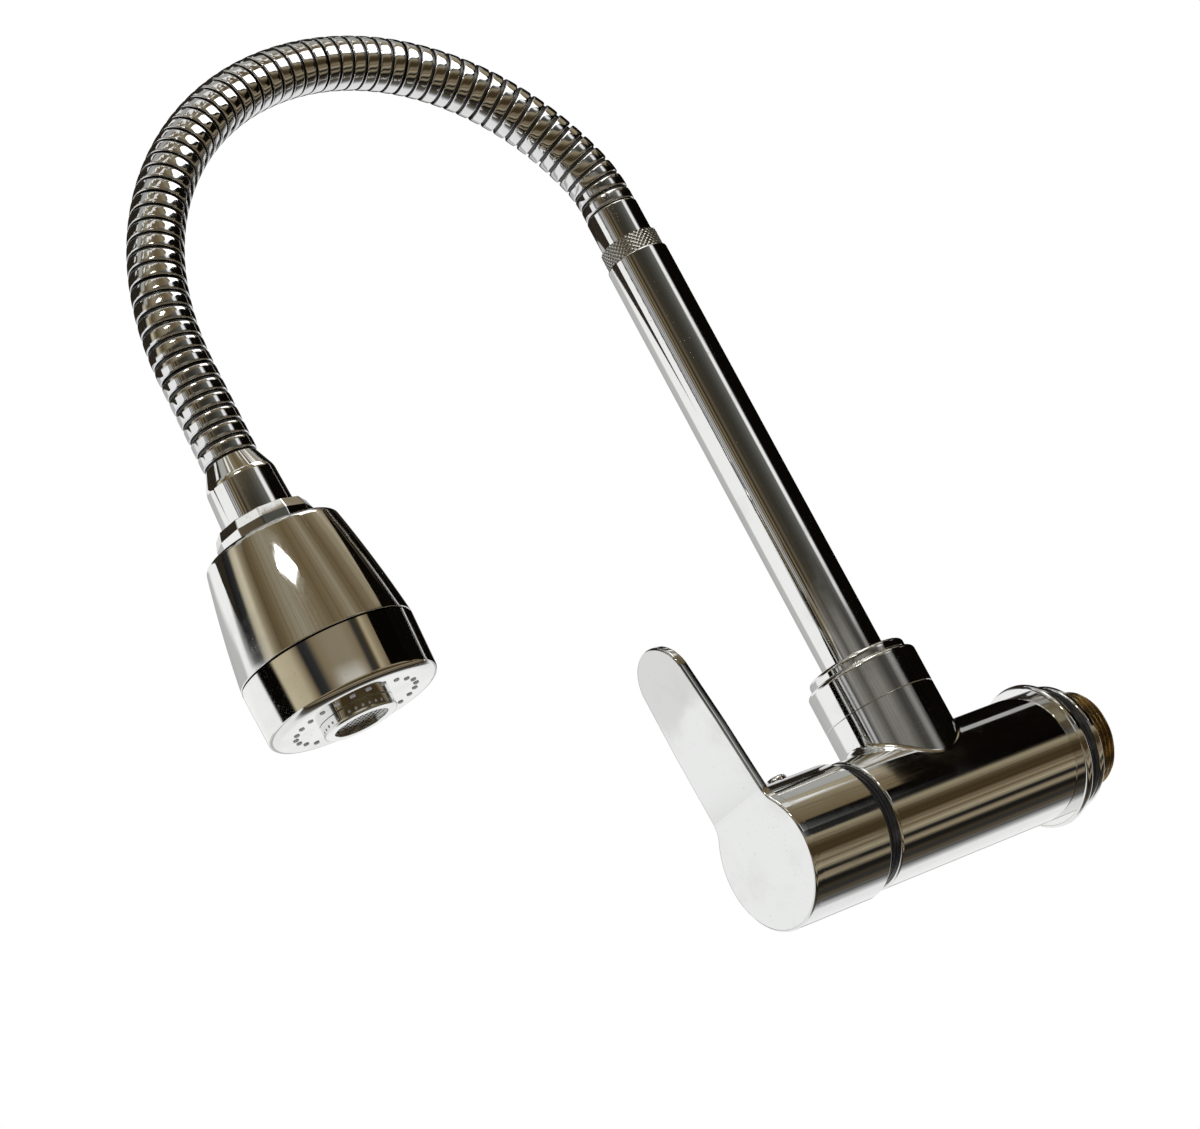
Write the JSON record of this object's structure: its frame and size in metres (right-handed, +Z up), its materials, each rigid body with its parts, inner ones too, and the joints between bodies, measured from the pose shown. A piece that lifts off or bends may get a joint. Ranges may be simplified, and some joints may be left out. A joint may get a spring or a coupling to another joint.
{
  "type": "gooseneck tap",
  "caption": "Wall-mounted lever tap with a flexible gooseneck spout, a turning spray head, a swivel riser and a threaded wall inlet.",
  "frame": {"origin": "centre of the inlet in the plane of the wall, which is the back face of the wall gasket", "axes": "+Y into the wall along the inlet, +Z up along the riser, +X to the right of someone who faces the wall"},
  "size_m": [0.057, 0.2824, 0.3369],
  "materials": {
    "chrome": "polished chrome plate",
    "brass": "bare machined brass",
    "rubber": "black rubber",
    "black_plastic": "black moulded plastic",
    "white_plastic": "white moulded plastic",
    "ceramic": "lapped ceramic",
    "steel": "bare stainless steel",
    "hose_rubber": "grey reinforced rubber"
  },
  "bodies": {
    "tap_body": {"body_casting": "chrome", "inlet_stub": "brass", "inlet_strainer": "steel", "wall_flange": "chrome", "flange_groove_ring": "rubber", "flange_ring": "chrome", "wall_gasket": "rubber", "cartridge_base_seal": "rubber", "cartridge_base": "white_plastic", "fixed_disc": "ceramic", "cartridge_housing": "white_plastic", "cartridge_stem_seal": "rubber", "cartridge_nut": "brass", "gap_ring": "black_plastic", "swivel_nut": "chrome"},
    "handle": {"lever_handle": "chrome", "grub_screw": "steel", "screw_plug": "chrome", "cartridge_stem": "brass", "cartridge_carrier": "white_plastic", "moving_disc": "ceramic"},
    "spout": {"spout_foot": "brass", "spout_seals": "rubber", "slip_ring": "white_plastic", "collar": "chrome", "riser_tube": "chrome", "knurled_plug": "chrome", "upper_ferrule": "chrome", "water_tube": "hose_rubber", "hose_span_1": "chrome"},
    "hose_link_2": {"hose_span_2": "chrome"},
    "hose_link_3": {"hose_span_3": "chrome"},
    "hose_link_4": {"hose_span_4": "chrome"},
    "hose_link_5": {"hose_span_5": "chrome"},
    "hose_link_6": {"hose_span_6": "chrome"},
    "hose_link_7": {"hose_span_7": "chrome"},
    "hose_link_8": {"hose_span_8": "chrome"},
    "hose_link_9": {"hose_span_9": "chrome"},
    "head": {"hose_span_10": "chrome", "head_neck": "chrome", "grip_ring": "chrome", "bell_shell": "chrome", "head_core": "white_plastic", "core_seal": "rubber"},
    "selector": {"selector_ring": "chrome", "spray_mat": "rubber", "aerator_housing": "chrome", "aerator_mesh": "steel", "aerator_insert": "black_plastic", "aerator_washer": "rubber"}
  },
  "joints": [
    {"name": "handle_turn", "type": "hinge", "parent": "tap_body", "child": "handle", "pos_m": [0, -0.11, 0], "axis": [0, 1, 0], "range_deg": [-90, 0]},
    {"name": "spout_swivel", "type": "hinge", "parent": "tap_body", "child": "spout", "pos_m": [0, -0.0625, 0.042], "axis": [0, 0, 1], "range_deg": [-100, 100]},
    {"name": "hose_bend_1", "type": "hinge", "parent": "spout", "child": "hose_link_2", "pos_m": [0, -0.0704, 0.2564], "axis": [1, 0, 0], "range_deg": [-5.5, 3], "deforming": ["water_tube"]},
    {"name": "hose_bend_2", "type": "hinge", "parent": "hose_link_2", "child": "hose_link_3", "pos_m": [0, -0.08955, 0.28046], "axis": [1, 0, 0], "range_deg": [-5.5, 3], "deforming": ["water_tube"]},
    {"name": "hose_bend_3", "type": "hinge", "parent": "hose_link_3", "child": "hose_link_4", "pos_m": [0, -0.11567, 0.29667], "axis": [1, 0, 0], "range_deg": [-5.5, 3], "deforming": ["water_tube"]},
    {"name": "hose_bend_4", "type": "hinge", "parent": "hose_link_4", "child": "hose_link_5", "pos_m": [0, -0.14572, 0.30314], "axis": [1, 0, 0], "range_deg": [-5.5, 3], "deforming": ["water_tube"]},
    {"name": "hose_bend_5", "type": "hinge", "parent": "hose_link_5", "child": "hose_link_6", "pos_m": [0, -0.17625, 0.29935], "axis": [1, 0, 0], "range_deg": [-5.5, 3], "deforming": ["water_tube"]},
    {"name": "hose_bend_6", "type": "hinge", "parent": "hose_link_6", "child": "hose_link_7", "pos_m": [0, -0.20399, 0.28605], "axis": [1, 0, 0], "range_deg": [-5.5, 3], "deforming": ["water_tube"]},
    {"name": "hose_bend_7", "type": "hinge", "parent": "hose_link_7", "child": "hose_link_8", "pos_m": [0, -0.22605, 0.26463], "axis": [1, 0, 0], "range_deg": [-5.5, 3], "deforming": ["water_tube"]},
    {"name": "hose_bend_8", "type": "hinge", "parent": "hose_link_8", "child": "hose_link_9", "pos_m": [0, -0.24017, 0.23729], "axis": [1, 0, 0], "range_deg": [-5.5, 3], "deforming": ["water_tube"]},
    {"name": "hose_bend_9", "type": "hinge", "parent": "hose_link_9", "child": "head", "pos_m": [0, -0.24486, 0.2069], "axis": [1, 0, 0], "range_deg": [-5.5, 3], "deforming": ["water_tube"]},
    {"name": "selector_turn", "type": "hinge", "parent": "head", "child": "selector", "pos_m": [0, -0.24486, 0.1], "axis": [0, 0, 1], "range_deg": [0, 45]}
  ],
  "couplings": [
    {"joint": "hose_bend_2", "follows": "hose_bend_1", "ratio": 1},
    {"joint": "hose_bend_3", "follows": "hose_bend_1", "ratio": 1},
    {"joint": "hose_bend_4", "follows": "hose_bend_1", "ratio": 1},
    {"joint": "hose_bend_5", "follows": "hose_bend_1", "ratio": 1},
    {"joint": "hose_bend_6", "follows": "hose_bend_1", "ratio": 1},
    {"joint": "hose_bend_7", "follows": "hose_bend_1", "ratio": 1},
    {"joint": "hose_bend_8", "follows": "hose_bend_1", "ratio": 1},
    {"joint": "hose_bend_9", "follows": "hose_bend_1", "ratio": 1}
  ]
}
